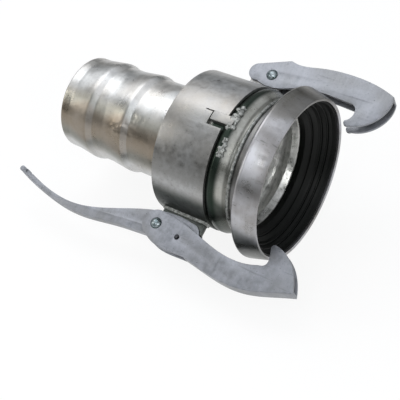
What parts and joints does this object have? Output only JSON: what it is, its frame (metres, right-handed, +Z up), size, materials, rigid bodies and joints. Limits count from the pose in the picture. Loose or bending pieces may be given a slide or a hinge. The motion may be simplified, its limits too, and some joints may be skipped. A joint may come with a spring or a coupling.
{
  "type": "lever hose coupling",
  "caption": "Lever-lock hose coupling half with a barbed tail, a rubber-sealed mouth and a loose ring that carries a plain hook and a lever-thrown hook.",
  "frame": {"origin": "centre of the mouth's plane, on the coupling's axis", "axes": "+X along the axis out of the mouth, +Z up as the coupling lies on its side, with the lever on the -Y side"},
  "size_m": [0.3506, 0.2236, 0.1784],
  "materials": {
    "tube_zinc": "hot-dip galvanised sheet steel, bright and streaked",
    "ring_zinc": "hot-dip galvanised strip, matte grey",
    "hook_zinc": "zinc-plated folded sheet, light blue-grey",
    "rivet_steel": "zinc-plated, polished by setting",
    "weld_bead": "galvanised over the weld, rough",
    "seal_rubber": "black rubber, semi-matte"
  },
  "bodies": {
    "coupling": {"hose_shank": "tube_zinc", "shank_weld": "weld_bead", "ball_body": "tube_zinc", "collar_weld": "weld_bead", "mouth_collar": "tube_zinc", "seat_ring": "tube_zinc", "seal_ring": "seal_rubber", "key_lugs": "ring_zinc", "key_welds": "weld_bead"},
    "ring": {"closing_ring": "ring_zinc", "fixed_ear": "ring_zinc", "fixed_ear_weld": "weld_bead", "fixed_hook_rivet": "rivet_steel", "lever_ear": "ring_zinc", "lever_ear_weld": "weld_bead"},
    "plain_hook": {"fixed_hook": "hook_zinc"},
    "lever": {"lever": "hook_zinc", "lever_pivot_pin": "rivet_steel", "lever_hook_rivet": "rivet_steel"},
    "lever_hook": {"lever_hook": "hook_zinc"}
  },
  "joints": [
    {"name": "ring_turn", "type": "hinge", "parent": "coupling", "child": "ring", "pos_m": [0, 0, 0], "axis": [1, 0, 0], "range_deg": [-3.6, 0]},
    {"name": "plain_hook_swing", "type": "hinge", "parent": "ring", "child": "plain_hook", "pos_m": [-0.0789, 0.08267, 0.04303], "axis": [0, -0.4617, 0.887], "range_deg": [0, 23]},
    {"name": "lever_throw", "type": "hinge", "parent": "ring", "child": "lever", "pos_m": [-0.0789, -0.08267, -0.04303], "axis": [0, -0.4617, 0.887], "range_deg": [0, 110]},
    {"name": "lever_hook_swing", "type": "hinge", "parent": "lever", "child": "lever_hook", "pos_m": [-0.1139, -0.08622, -0.04488], "axis": [0, -0.4617, 0.887], "range_deg": [-110, 0]}
  ],
  "couplings": [
    {"joint": "lever_hook_swing", "follows": "lever_throw", "ratio": -1}
  ]
}
